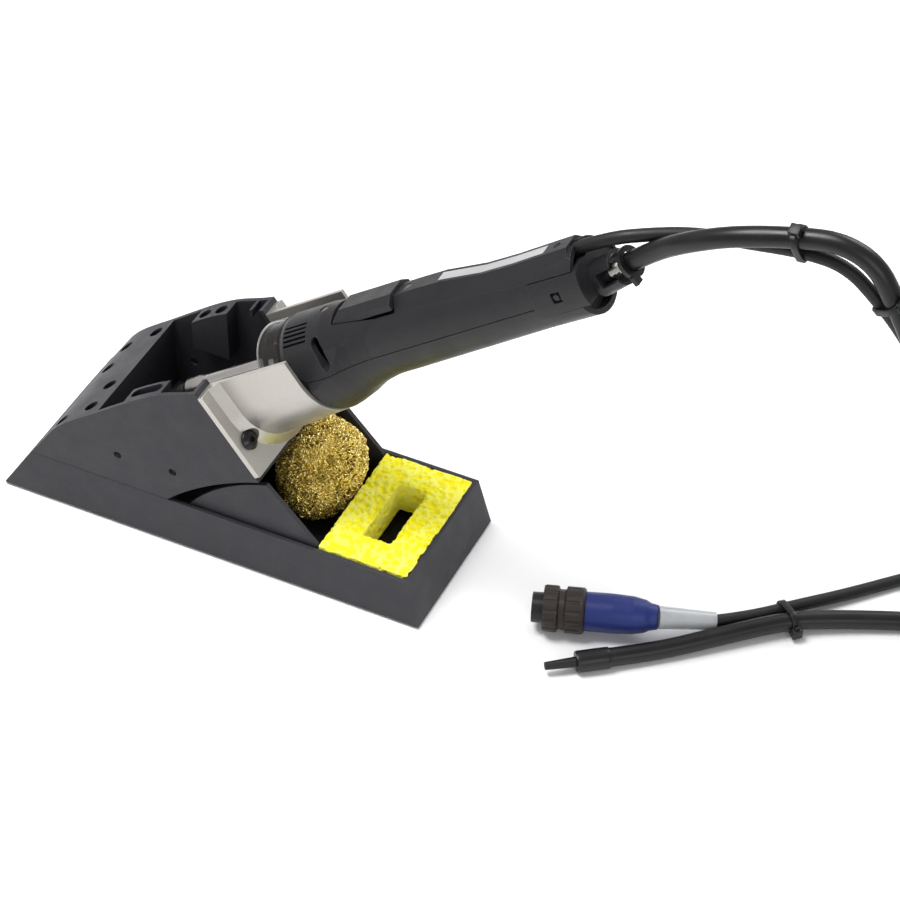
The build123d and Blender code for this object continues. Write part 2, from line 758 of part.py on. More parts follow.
def make_tie(lead_path, hose_path, share):
    """A strap round the lead and the hose: a band with its lock."""
    first = lead_path.position_at(share)
    along = lead_path.tangent_at(share)
    second = min((hose_path.position_at(step / 200) for step in range(201)),
                 key=lambda place: (place - first).length)
    plane = Plane(origin=(first + second) / 2, x_dir=second - first, z_dir=along)
    reach = (second - first).length
    band = tie_face(reach, free_gap + tie_thickness) - tie_face(reach, free_gap)
    strap = Pos(0, 0, -tie_width / 2) * extrude(band, tie_width)
    lock_rise = (cord_diameter + hose_diameter) / 4 + free_gap + tie_thickness + 1.4
    if (plane * Vertex(0, lock_rise, 0)).center().Z < plane.origin.Z:
        lock_rise = -lock_rise
    lock = Pos(0, lock_rise, 0) * Box(5, 3.2, tie_width + 1)
    return plane * (strap + lock)


def make_cords():
    hose_route = route(hose_down)
    hose_route[0] = tilted(Pos(0, 0, hose_start) * Vertex(0, 0, 0)).center()
    cord_route = route(cord_down)
    add("power_cord_upper", tube_along("power_cord_upper", cord_route, cord_diameter))
    add("power_cord_coil", coil_solid(cord_coil_place, cord_coil_radius, cord_diameter, cord_coil_angles,
                                      cord_pitch, cord_floor))
    add("power_cord_lower", tube_along("power_cord_lower", route(cord_back), cord_diameter))
    add("air_hose_upper", tube_along("air_hose_upper", hose_route, hose_diameter))
    add("air_hose_coil", coil_solid(hose_coil_place, hose_coil_radius, hose_diameter, hose_coil_angles,
                                    hose_pitch, hose_floor))
    add("air_hose_lower", tube_along("air_hose_lower", route(hose_back), hose_diameter))
    in_air = cord_path(cord_route), cord_path(hose_route)
    add("tie_first", make_tie(*in_air, 0.253))
    add("tie_second", make_tie(*in_air, 0.352))
    add("tie_bench", make_tie(cord_path(route(cord_back)), cord_path(route(hose_back)), 0.815))


# ---- put everything together
add("base_tray", make_tray())
add("rubber_feet", make_feet())
add("housing_screws", make_housing_screws())
add("tip_housing", make_housing())
add("holder_bracket", make_bracket())
add("bracket_screws", make_bracket_screws())
add("sponge", make_sponge())
add("brass_wool", make_wool())
lower_shell, upper_shell = make_handle()
add("handle_lower_shell", largest(lower_shell))
add("handle_upper_shell", largest(upper_shell))
add("finger_button", make_button())
add("trigger_switch", hand_box(13, 5.8, 12.4, 246.6, 259.4))
add("label_plate", make_label())
add("shell_screws", make_shell_screws())
add("smoked_front_ring", ring(20.4, 19.0, 184, 197.2) + ring(20.4, 18.0, 183.2, 184.1))
add("ring_frame", make_ring_frame())
add("heater_coil", make_heater_coil())
add("heater_core", ring(11.4, barrel_radius + 0.05, 187, 240))
add("heater_barrel", make_barrel())
add("desoldering_nozzle", make_nozzle())
add("front_seal", ring(tube_bore - fit_gap, 3, chamber_start - 4.8, chamber_start - 0.1, tube_drop))
add("collector_chamber", ring(12.5, 10.7, chamber_start, chamber_end, tube_drop))
add("chamber_filter", rod(10.6, 345, chamber_end - 1, tube_drop))
add("rear_seal", ring(tube_bore - fit_gap, 3, chamber_end + 0.1, chamber_end + 6, tube_drop))
add("rear_end_cap", make_cap())
add("latch_posts", make_latch_posts())
add("rear_plug", make_plug())
add("hose_spigot", make_spigot())
add("hose_clip_ring", make_clip())
add("plug_insert", make_insert())
add("plug_pins", make_pins())
add("coupling_ring", make_coupling())
add("plug_boot", make_boot())
add("clear_sleeve", make_sleeve())
add("hose_collar", make_hose_collar())
add("hose_nozzle", make_hose_nozzle())
make_cords()

if __name__ == "__main__":
    os.makedirs("parts", exist_ok=True)
    for name, shape in nodes.items():
        export_step(shape, "parts/" + name + ".step")
    print(len(nodes), "nodes")
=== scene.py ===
"""Looks for the bench stand with its vacuum desoldering iron, lead, hose, sponge and brass wool.

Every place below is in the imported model's frame. Distances from the nose of the stand, widths and
heights above the tray's underside are in millimetres, and spot() turns them into that frame.
"""

import json
import math
import random

import bmesh
import bpy
from mathutils import Matrix, Vector, kdtree, noise


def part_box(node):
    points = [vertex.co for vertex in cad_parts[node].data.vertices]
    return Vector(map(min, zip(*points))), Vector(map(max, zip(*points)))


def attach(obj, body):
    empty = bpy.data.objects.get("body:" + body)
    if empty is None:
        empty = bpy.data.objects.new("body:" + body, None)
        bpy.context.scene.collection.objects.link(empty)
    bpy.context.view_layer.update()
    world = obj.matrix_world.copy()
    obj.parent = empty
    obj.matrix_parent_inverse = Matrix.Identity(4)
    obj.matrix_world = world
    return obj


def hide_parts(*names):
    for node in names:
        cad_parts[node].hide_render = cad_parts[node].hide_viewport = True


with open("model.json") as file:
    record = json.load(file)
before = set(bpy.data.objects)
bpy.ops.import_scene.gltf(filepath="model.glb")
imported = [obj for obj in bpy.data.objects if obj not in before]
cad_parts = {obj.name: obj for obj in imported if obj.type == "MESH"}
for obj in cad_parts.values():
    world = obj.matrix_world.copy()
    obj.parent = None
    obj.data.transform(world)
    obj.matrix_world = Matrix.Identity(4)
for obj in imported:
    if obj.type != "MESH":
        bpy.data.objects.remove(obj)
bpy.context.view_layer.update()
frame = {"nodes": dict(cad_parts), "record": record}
nodes = frame["nodes"]
scene = bpy.context.scene

MM = 0.001
HALF_TRAY = 120.0
FOOT = 1.5
TILT = math.radians(36)
AXIS = Vector((math.cos(TILT), 0, math.sin(TILT)))
RISE = Vector((-math.sin(TILT), 0, math.cos(TILT)))
ACROSS = Vector((0, 1, 0))


def spot(distance, across, height):
    return Vector(((distance - HALF_TRAY) * MM, across * MM, (height + FOOT) * MM))


def on_hand(across, rise, along):
    """A point of the iron, from its place across, above and along its axis."""
    return spot(0, 0, 0) + (ACROSS * across + RISE * rise + AXIS * along) * MM


# ---- camera
AZIMUTH = math.radians(25.94)
ELEVATION = math.radians(43.23)
TARGET = Vector((0.11702, 0, 0.08579))
REACH = 1.47834
LENS = 121.78
SENSOR = 36


def make_camera():
    camera = bpy.data.objects.new("camera", bpy.data.cameras.new("camera"))
    scene.collection.objects.link(camera)
    away = Vector((math.sin(AZIMUTH) * math.cos(ELEVATION), -math.cos(AZIMUTH) * math.cos(ELEVATION),
                   math.sin(ELEVATION)))
    camera.location = TARGET + away * REACH
    camera.rotation_euler = (-away).to_track_quat("-Z", "Y").to_euler()
    camera.data.lens = LENS
    camera.data.sensor_width = SENSOR
    camera.data.dof.use_dof = False
    camera.data.clip_start = 0.05
    scene.camera = camera


# ---- lead and hose
LEAD_DIAMETER = 6.3
HOSE_DIAMETER = 9.5
LEAD_DOWN = [
    (295.11, 0, 230.11), (313, 1.0, 243), (331.5, 6.2, 248.2), (353.2, 7.2, 255.6), (378.6, 4.0, 262),
    (404, 0.5, 269), (424.5, 0.2, 268.4), (440.3, 0.8, 253.8), (452, 2.2, 239), (461.5, 4.8, 221),
    (468.5, 9, 198), (473.5, 17, 167.5), (478, 28.5, 132.5), (483.5, 43.8, 97), (490, 60.5, 67),
    (502, 78.5, 43.5), (517.5, 93, 28), (537, 100.5, 18.78),
]
LEAD_BACK = [
    (512.43, 160.42, 1.75), (491, 139.4, 1.75), (468, 116, 1.75), (445, 93.6, 1.75), (423.5, 70.6, 2.4),
    (402, 49.2, 3.7), (385.5, 32.6, 4.3), (372.2, 21.3, 6.0),
]
HOSE_DOWN = [
    (324.48, 0, 233.66), (336.2, 0, 245.2), (355, -5.2, 261.0), (377, -6.4, 272.8), (403, -1.6, 277.6),
    (421.5, -0.6, 280.6), (437.5, -0.5, 274.3), (447.4, -1.0, 258.2), (458.5, -3.2, 240.2),
    (469, -5.8, 212), (476, -8.6, 177), (482, -12, 138), (488.5, -15.2, 98), (495.5, -16.6, 65),
    (506, -17.2, 41), (520, -17.3, 25.8), (536, -17.0, 18.3),
]
HOSE_BACK = [
    (521.39, 86.95, 3.35), (488, 76.6, 3.35), (455.5, 64.8, 3.35), (427, 51.4, 4.0), (405, 38.6, 5.3),
    (383, 19.0, 4.9), (360.5, -1.4, 3.6), (346, -13.2, 3.6), (334.3, -22.4, 4.1),
]
POINTS_A_TURN = 18
LEAD_COIL = {"middle": (537.0, 135.5), "radius": 35.0, "first": -90.0, "last": 134.6 + 720,
             "top": 18.78, "floor": 1.75}
HOSE_COIL = {"middle": (536.0, 36.0), "radius": 53.0, "first": -90.0, "last": 106.0 + 360,
             "top": 18.3, "floor": 3.35}


def coil_points(middle, radius, first, last, top, floor):
    """The turns of a coil, between the points before and after it."""
    steps = round((last - first) / 360 * POINTS_A_TURN)
    points = []
    for step in range(1, steps):
        share = step / steps
        angle = math.radians(first + (last - first) * share)
        points.append((middle[0] + radius * math.cos(angle), middle[1] + radius * math.sin(angle),
                       top + (floor - top) * share))
    return points


def smooth_curve(name, points, diameter):
    """One NURBS spline through the places, with a round section."""
    data = bpy.data.curves.new(name, "CURVE")
    data.dimensions = "3D"
    data.resolution_u = 10
    spline = data.splines.new("NURBS")
    spline.points.add(len(points) - 1)
    for point, place in zip(spline.points, points):
        point.co = (*spot(*place), 1)
    spline.order_u = 3
    spline.use_endpoint_u = True
    data.bevel_depth = diameter / 2 * MM
    data.bevel_resolution = 7
    data.use_fill_caps = True
    curve = bpy.data.objects.new(name, data)
    scene.collection.objects.link(curve)
    return curve


def centre_line(curve):
    """The points of a curve's own line."""
    depth = curve.data.bevel_depth
    caps = curve.data.use_fill_caps
    curve.data.bevel_depth = 0
    curve.data.use_fill_caps = False
    bpy.context.view_layer.update()
    line = bpy.data.meshes.new_from_object(curve.evaluated_get(bpy.context.evaluated_depsgraph_get()))
    points = [v.co.copy() for v in line.vertices]
    bpy.data.meshes.remove(line)
    curve.data.bevel_depth = depth
    curve.data.use_fill_caps = caps
    return points


def line_length(points):
    return sum((b - a).length for a, b in zip(points, points[1:]))


# ---- mesh helpers
def mesh_object(name, bm):
    mesh = bpy.data.meshes.new(name)
    bm.normal_update()
    bm.to_mesh(mesh)
    bm.free()
    mesh.shade_smooth()
    made = bpy.data.objects.new(name, mesh)
    scene.collection.objects.link(made)
    return made


def rounded(made, width, segments, angle):
    bevel = made.modifiers.new("soft_edges", "BEVEL")
    bevel.width = width * MM
    bevel.segments = segments
    bevel.limit_method = "ANGLE"
    bevel.angle_limit = math.radians(angle)
    return made


def finish_piece(made, body, slot, material, *replaced):
    made.data.materials.clear()
    made.data.materials.append(material)
    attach(made, body)
    if replaced:
        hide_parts(*replaced)
    return made


# ---- materials
class Look:
    """A node material: colour, roughness and bump from object-space patterns."""

    def __init__(self, name, color, rough, metallic=0.0):
        self.material = bpy.data.materials.new(name)
        self.material.use_nodes = True
        self.tree = self.material.node_tree
        self.shader = self.tree.nodes["Principled BSDF"]
        self.color = color
        self.place = self.node("ShaderNodeTexCoord").outputs["Object"]
        self.shader.inputs["Metallic"].default_value = metallic
        self.shader.inputs["Roughness"].default_value = rough
        self.shader.inputs["Base Color"].default_value = (*color, 1)
        self.base = None
        self.normal = None

    def node(self, kind, **values):
        made = self.tree.nodes.new(kind)
        for key, value in values.items():
            setattr(made, key, value)
        return made

    def join(self, source, target):
        self.tree.links.new(source, target)

    def noise(self, scale, detail, stretch=None):
        made = self.node("ShaderNodeTexNoise")
        made.inputs["Scale"].default_value = scale
        made.inputs["Detail"].default_value = detail
        made.inputs["Roughness"].default_value = 0.5
        place = self.place
        if stretch:
            turn = self.node("ShaderNodeMapping")
            turn.inputs["Scale"].default_value = stretch
            self.join(place, turn.inputs["Vector"])
            place = turn.outputs["Vector"]
        self.join(place, made.inputs["Vector"])
        return made.outputs["Fac"]

    def voronoi(self, scale):
        made = self.node("ShaderNodeTexVoronoi", feature="F1")
        made.inputs["Scale"].default_value = scale
        self.join(self.place, made.inputs["Vector"])
        return made.outputs["Distance"]

    def span(self, value, low, high, to_low, to_high):
        made = self.node("ShaderNodeMapRange")
        for index, number in enumerate((low, high, to_low, to_high), start=1):
            made.inputs[index].default_value = number
        self.join(value, made.inputs[0])
        return made.outputs[0]

    def times(self, first, second):
        made = self.node("ShaderNodeMath", operation="MULTIPLY")
        self.join(first, made.inputs[0])
        self.join(second, made.inputs[1])
        return made.outputs[0]

    def tint(self, factor, color):
        """Mix another colour over the base colour, by a factor."""
        made = self.node("ShaderNodeMix", data_type="RGBA")
        self.join(factor, made.inputs["Factor"])
        sockets = [socket for socket in made.inputs if socket.type == "RGBA"]
        if self.base is None:
            sockets[0].default_value = (*self.color, 1)
        else:
            self.join(self.base, sockets[0])
        sockets[1].default_value = (*color, 1)
        self.base = [socket for socket in made.outputs if socket.type == "RGBA"][0]
        self.join(self.base, self.shader.inputs["Base Color"])
        return self

    def roughness(self, value, low, high):
        self.join(self.span(value, 0.25, 0.75, low, high), self.shader.inputs["Roughness"])
        return self

    def bump(self, height, strength, depth):
        made = self.node("ShaderNodeBump")
        made.inputs["Strength"].default_value = strength
        made.inputs["Distance"].default_value = depth * MM
        self.join(height, made.inputs["Height"])
        if self.normal is not None:
            self.join(self.normal, made.inputs["Normal"])
        self.normal = made.outputs["Normal"]
        self.join(self.normal, self.shader.inputs["Normal"])
        return self

    def soft_edges(self, radius, wear_and_highlight, strength):
        """Round the edges of a hard mesh, and lighten them: partly rubbed wear, partly a painted edge
        highlight.
        """
        made = self.node("ShaderNodeBevel", samples=4)
        made.inputs["Radius"].default_value = radius * MM
        self.normal = made.outputs["Normal"]
        self.join(self.normal, self.shader.inputs["Normal"])
        flat = self.node("ShaderNodeNewGeometry")
        dot = self.node("ShaderNodeVectorMath", operation="DOT_PRODUCT")
        self.join(made.outputs["Normal"], dot.inputs[0])
        self.join(flat.outputs["Normal"], dot.inputs[1])
        # edge mask for the lighter edges: partly rubbed wear, partly a painted edge highlight
        edge = self.span(dot.outputs["Value"], 0.995, 0.88, 0.0, strength)
        self.tint(self.times(edge, self.span(self.noise(420, 3), 0.3, 0.65, 0.25, 1.0)), wear_and_highlight)
        return self

    def set(self, **values):
        for key, value in values.items():
            self.shader.inputs[key.replace("_", " ")].default_value = value
        return self


def shade(color, factor):
    return tuple(part * factor for part in color)


def plastic(name, color, rough, grain, size, radius, wear_and_highlight=2.2, strength=0.55):
    """A moulded plastic with a fine spark-eroded grain, and lighter edges: partly rubbed wear, partly a painted
    edge highlight.
    """
    look = Look(name, color, rough)
    # edges lightened: partly rubbed wear, partly a painted edge highlight
    look.soft_edges(radius, shade(color, wear_and_highlight), strength)
    look.tint(look.span(look.noise(38, 4), 0.35, 0.7, 0, 0.5), shade(color, 1.22))
    look.tint(look.span(look.noise(size, 2), 0.42, 0.7, 0, 0.35), shade(color, 1.5))
    look.roughness(look.noise(90, 4), rough - 0.07, rough + 0.07)
    look.bump(look.noise(size, 2.5), grain, 0.16)
    look.set(Specular_IOR_Level=0.3)
    return look.material


# The edge factors below lighten the edges: partly rubbed wear, partly a painted edge highlight.
PLASTICS = {
    "stand_plastic": {"color": (0.0270, 0.0260, 0.0315), "rough": 0.52, "grain": 0.8, "size": 1150,
                      "radius": 0.4, "wear_and_highlight": 2.6},
    "handle_plastic": {"color": (0.0122, 0.0119, 0.0136), "rough": 0.42, "grain": 0.8, "size": 1500,
                       "radius": 0.5, "wear_and_highlight": 3.4, "strength": 0.75},
    "inner_black": {"color": (0.008, 0.008, 0.0085), "rough": 0.4, "grain": 0.15, "size": 1800, "radius": 0.2},
    "foot_rubber": {"color": (0.012, 0.012, 0.0125), "rough": 0.75, "grain": 0.2, "size": 900, "radius": 0.3},
    "ring_brown": {"color": (0.021, 0.0155, 0.013), "rough": 0.46, "grain": 0.35, "size": 1900, "radius": 0.3},
    "boot_blue": {"color": (0.012, 0.022, 0.130), "rough": 0.4, "grain": 0.22, "size": 1700, "radius": 0.5,
                  "wear_and_highlight": 1.6},
}


def make_materials():
    made = {name: plastic(name, **values) for name, values in PLASTICS.items()}
    look = Look("black_steel", (0.02, 0.02, 0.021), 0.2, 0.6)
    # light grey edges on the black screws: a painted edge highlight
    look.soft_edges(0.3, (0.2, 0.2, 0.2), 0.6)
    look.tint(look.span(look.noise(300, 3), 0.4, 0.7, 0, 0.6), (0.012, 0.012, 0.0125))
    look.roughness(look.noise(220, 3), 0.14, 0.27)
    made["black_steel"] = look.material

    look = Look("bracket_metal", (0.47, 0.45, 0.415), 0.36, 0.75)
    # paler edges on the bracket: a painted edge highlight
    look.soft_edges(0.5, (0.78, 0.77, 0.74), 0.6)
    look.tint(look.span(look.noise(26, 4), 0.35, 0.7, 0, 0.5), (0.43, 0.41, 0.375))
    look.tint(look.span(look.noise(1700, 2), 0.45, 0.7, 0, 0.5), (0.57, 0.55, 0.52))
    look.roughness(look.noise(110, 4), 0.30, 0.42)
    look.bump(look.noise(2300, 2), 0.16, 0.08)
    made["bracket_metal"] = look.material

    look = Look("lead_jacket", (0.0066, 0.0066, 0.0072), 0.48)
    look.tint(look.span(look.noise(60, 3), 0.4, 0.7, 0, 0.6), (0.011, 0.011, 0.0118))
    look.roughness(look.noise(140, 4), 0.42, 0.6)
    look.bump(look.noise(1700, 3), 0.35, 0.1)
    look.set(Specular_IOR_Level=0.35)
    made["cord_jacket"] = look.material

    look = Look("hose_rubber", (0.0038, 0.0038, 0.0044), 0.33)
    look.tint(look.span(look.noise(35, 3), 0.4, 0.7, 0, 0.6), (0.0065, 0.0065, 0.0072))
    look.roughness(look.noise(70, 4), 0.27, 0.43)
    look.bump(look.noise(500, 3), 0.12, 0.12)
    look.set(Specular_IOR_Level=0.38)
    made["hose_rubber"] = look.material

    look = Look("smoked_clear", (0.022, 0.02, 0.019), 0.1)
    # lighter edges on the smoked ring: a painted edge highlight
    look.soft_edges(0.25, (0.3, 0.29, 0.28), 0.4)
    look.roughness(look.noise(80, 3), 0.06, 0.16)
    look.set(Alpha=0.36, IOR=1.5, Coat_Weight=0.3)
    made["smoked_clear"] = look.material

    # pale grey for the ring on the smoked ring's front edge: a painted highlight
    look = Look("painted_edge_highlight", (0.55, 0.545, 0.53), 0.14)
    look.tint(look.span(look.noise(200, 3), 0.4, 0.7, 0, 0.5), (0.42, 0.41, 0.39))
    look.roughness(look.noise(120, 3), 0.1, 0.2)
    look.set(Coat_Weight=0.5)
    made["painted_edge_highlight"] = look.material

    look = Look("frame_grey", (0.022, 0.02, 0.019), 0.38, 0.2)
    # lighter edges: partly rubbed wear, partly a painted edge highlight
    look.soft_edges(0.2, (0.12, 0.11, 0.1), 0.5)
    look.roughness(look.noise(300, 3), 0.28, 0.45)
    made["frame_grey"] = look.material

    # Dark copper for the shell screws: the dark base is painted shade of their recesses, the lightened edges a
    # painted glint.
    look = Look("screw_shade_and_glint", (0.20, 0.13, 0.09), 0.34, 1.0)
    look.soft_edges(0.25, (0.75, 0.6, 0.5), 0.8)
    look.roughness(look.noise(500, 3), 0.25, 0.42)
    made["screw_shade_and_glint"] = look.material

    look = Look("copper", (0.85, 0.30, 0.10), 0.4, 0.8)
    look.tint(look.span(look.noise(600, 3), 0.4, 0.7, 0, 0.7), (0.55, 0.16, 0.05))
    look.bump(look.noise(1500, 3), 0.3, 0.1)
    made["copper"] = look.material

    look = Look("polished_steel", (0.62, 0.6, 0.57), 0.24, 1.0)
    look.tint(look.span(look.noise(45, 1), 0.45, 0.8, 0, 0.5), (0.50, 0.46, 0.40))
    look.roughness(look.noise(60, 2), 0.22, 0.3)
    made["polished_steel"] = look.material

    look = Look("label_silver", (0.56, 0.565, 0.57), 0.34, 0.55)
    look.tint(look.span(look.noise(60, 4, stretch=(0.3, 1, 0.3)), 0.4, 0.7, 0, 0.7), (0.44, 0.445, 0.45))
    look.roughness(look.noise(150, 4), 0.27, 0.46)
    made["label_silver"] = look.material

    look = Look("gold_pins", (0.83, 0.58, 0.22), 0.25, 1.0)
    look.roughness(look.noise(400, 3), 0.18, 0.33)
    made["gold_pins"] = look.material

    look = Look("clear_vinyl", (0.40, 0.42, 0.44), 0.3)
    look.tint(look.span(look.noise(120, 4), 0.4, 0.7, 0, 0.6), (0.52, 0.54, 0.56))
    look.roughness(look.noise(200, 4), 0.25, 0.42)
    look.bump(look.noise(300, 3), 0.15, 0.15)
    look.set(Alpha=0.82, Coat_Weight=0.4)
    made["clear_vinyl"] = look.material

    look = Look("seal_rubber", (0.012, 0.011, 0.011), 0.5)
    look.bump(look.noise(700, 3), 0.2, 0.1)
    made["seal_rubber"] = look.material

    look = Look("chamber_glass", (0.8, 0.85, 0.85), 0.08)
    look.roughness(look.noise(90, 3), 0.05, 0.12)
    look.set(Alpha=0.35)
    made["chamber_glass"] = look.material

    look = Look("filter_felt", (0.8, 0.78, 0.73), 0.9)
    look.bump(look.noise(1500, 5), 0.5, 0.3)
    made["filter_felt"] = look.material

    look = Look("sponge_foam", (0.97, 0.91, 0.13), 0.75)
    look.tint(look.span(look.noise(70, 4), 0.4, 0.7, 0, 0.6), (0.99, 0.95, 0.20))
    look.tint(look.span(look.voronoi(620), 0.30, 0.08, 0, 0.4), (0.95, 0.86, 0.03))
    # darker, deeper yellow in the pores by their depth: painted shade in the pores
    pits = look.node("ShaderNodeAttribute", attribute_name="pit")
    look.tint(look.span(pits.outputs["Fac"], 0.05, 0.7, 0, 0.9), (0.95, 0.84, 0.008))
    look.bump(look.voronoi(760), 0.35, 0.3)
    look.bump(look.noise(1500, 4), 0.35, 0.2)
    look.set(Subsurface_Weight=0.6, Subsurface_Radius=(0.006, 0.005, 0.0006),
             Specular_IOR_Level=0.15)
    made["sponge_foam"] = look.material

    look = Look("brass_wire", (0.98, 0.80, 0.27), 0.2, 0.85)
    look.tint(look.span(look.noise(240, 3), 0.35, 0.7, 0, 0.7), (0.92, 0.70, 0.12))
    # near-white speckles: painted sparkle highlights on the wire
    look.tint(look.span(look.noise(900, 2), 0.5, 0.75, 0, 0.6), (1.0, 0.95, 0.70))
    look.roughness(look.noise(500, 3), 0.12, 0.26)
    made["brass_wire"] = look.material

    look = Look("brass_shadow", (0.55, 0.41, 0.08), 0.4, 0.85)
    look.tint(look.span(look.noise(700, 4), 0.4, 0.65, 0, 1), (0.16, 0.11, 0.015))
    look.bump(look.noise(800, 4), 1.0, 1.0)
    made["brass_shadow"] = look.material
    return made


# ---- sponge
SPONGE_LIP = 1.7 * MM
SPONGE_RIM = 27.5
HOLE_START = spot(199, 0, 0).x
HOLE_END = spot(214, 0, 0).x
HOLE_HALF = 0.020
PORES = 1500
PORE_REACH = 2.4 * MM
PORE_SIZES = (0.5, 0.6, 0.75, 0.75, 0.95, 1.2, 1.5, 1.9)


def sponge_slab():
    """The foam block with its rectangular hole, remeshed fine enough for pores."""
    low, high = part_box("sponge")
    xs = [low.x, HOLE_START, HOLE_END, high.x]
    ys = [low.y, -HOLE_HALF, HOLE_HALF, high.y]
    bm = bmesh.new()
    grid = {}
    for k, z in enumerate((low.z, high.z)):
        for i, x in enumerate(xs):
            for j, y in enumerate(ys):
                grid[i, j, k] = bm.verts.new((x, y, z))
    for i in range(3):
        for j in range(3):
            if (i, j) == (1, 1):
                continue
            bm.faces.new([grid[i, j, 1], grid[i + 1, j, 1], grid[i + 1, j + 1, 1], grid[i, j + 1, 1]])
            bm.faces.new([grid[i, j, 0], grid[i, j + 1, 0], grid[i + 1, j + 1, 0], grid[i + 1, j, 0]])
    for rows in ([(i, 0) for i in range(4)], [(3, j) for j in range(4)], [(i, 3) for i in (3, 2, 1, 0)],
                 [(0, j) for j in (3, 2, 1, 0)], [(1, 1), (1, 2), (2, 2), (2, 1), (1, 1)]):
        for (i, j), (a, b) in zip(rows, rows[1:]):
            bm.faces.new([grid[i, j, 0], grid[a, b, 0], grid[a, b, 1], grid[i, j, 1]])
    bmesh.ops.recalc_face_normals(bm, faces=bm.faces)
    made = mesh_object("sponge_pad", bm)
    rounded(made, 1.1, 3, 60)
    remesh = made.modifiers.new("fine", "REMESH")
    remesh.mode = "VOXEL"
    remesh.voxel_size = 0.5 * MM
    bpy.context.view_layer.update()
    mesh = bpy.data.meshes.new_from_object(made.evaluated_get(bpy.context.evaluated_depsgraph_get()))
    made.modifiers.clear()
    made.data = mesh
    mesh.shade_smooth()
    return made, low, high


def pore_field(rng, low, high):
    """Pore places and sizes on the faces and in the hole of the foam."""
    pores = []
    for _ in range(PORES):
        size = rng.choice(PORE_SIZES) * rng.uniform(0.8, 1.15)
        place = Vector((rng.uniform(low.x, high.x), rng.uniform(low.y, high.y), rng.uniform(low.z, high.z)))
        face = rng.random()
        if face < 0.72:
            place.z = high.z
        elif face < 0.84:
            place.y = rng.choice((low.y, high.y, -HOLE_HALF, HOLE_HALF))
        else:
            place.x = rng.choice((low.x, high.x, HOLE_START, HOLE_END))
        pores.append((place, size * MM))
    return pores


def make_sponge(material):
    made, low, high = sponge_slab()
    rng = random.Random(5)
    pores = pore_field(rng, low, high)
    tree = kdtree.KDTree(len(pores))
    for index, (place, _) in enumerate(pores):
        tree.insert(place, index)
    tree.balance()
    pit = made.data.attributes.new("pit", "FLOAT", "POINT")
    rim = spot(0, 0, SPONGE_RIM).z
    values = []
    moved = []
    for vertex in made.data.vertices:
        place = vertex.co.copy()
        depth = 0.0
        for _, index, gap in tree.find_range(place, PORE_REACH):
            size = pores[index][1]
            warp = 1 + 0.45 * noise.noise(place * 900 + Vector((index, 0, 0)))
            if gap < size * warp:
                depth = max(depth, (1 - (gap / (size * warp)) ** 2) * (0.25 * MM + size * 0.5))
        values.append(min(1.0, depth / (0.7 * MM)))
        wave = noise.noise(place * 75) * 0.25 + noise.noise(place * 420) * 0.22 - 0.3
        place -= vertex.normal * (depth - wave * MM)
        if place.z > rim:
            place.x += SPONGE_LIP * max(0.0, (place.x - HOLE_END) / (high.x - HOLE_END))
        moved.append(place)
    for vertex, place in zip(made.data.vertices, moved):
        vertex.co = place
    pit.data.foreach_set("value", values)
    finish_piece(made, "sponge", "sponge_foam", material, "sponge")


# ---- brass wool
WOOL_LEAN = Vector((0.45, 0.60, 0.66))
VIEW_SIDE = Vector((0.9, 0.437, 0))
STRANDS = 560


def wool_reach(heading):
    """How far the pad bulges towards its upper corner, and is pressed in on its front."""
    lean = max(0.0, heading.dot(WOOL_LEAN))
    pressed = max(0.0, -heading.dot(VIEW_SIDE))
    return 1 + 0.24 * lean ** 2 - 0.09 * pressed ** 2


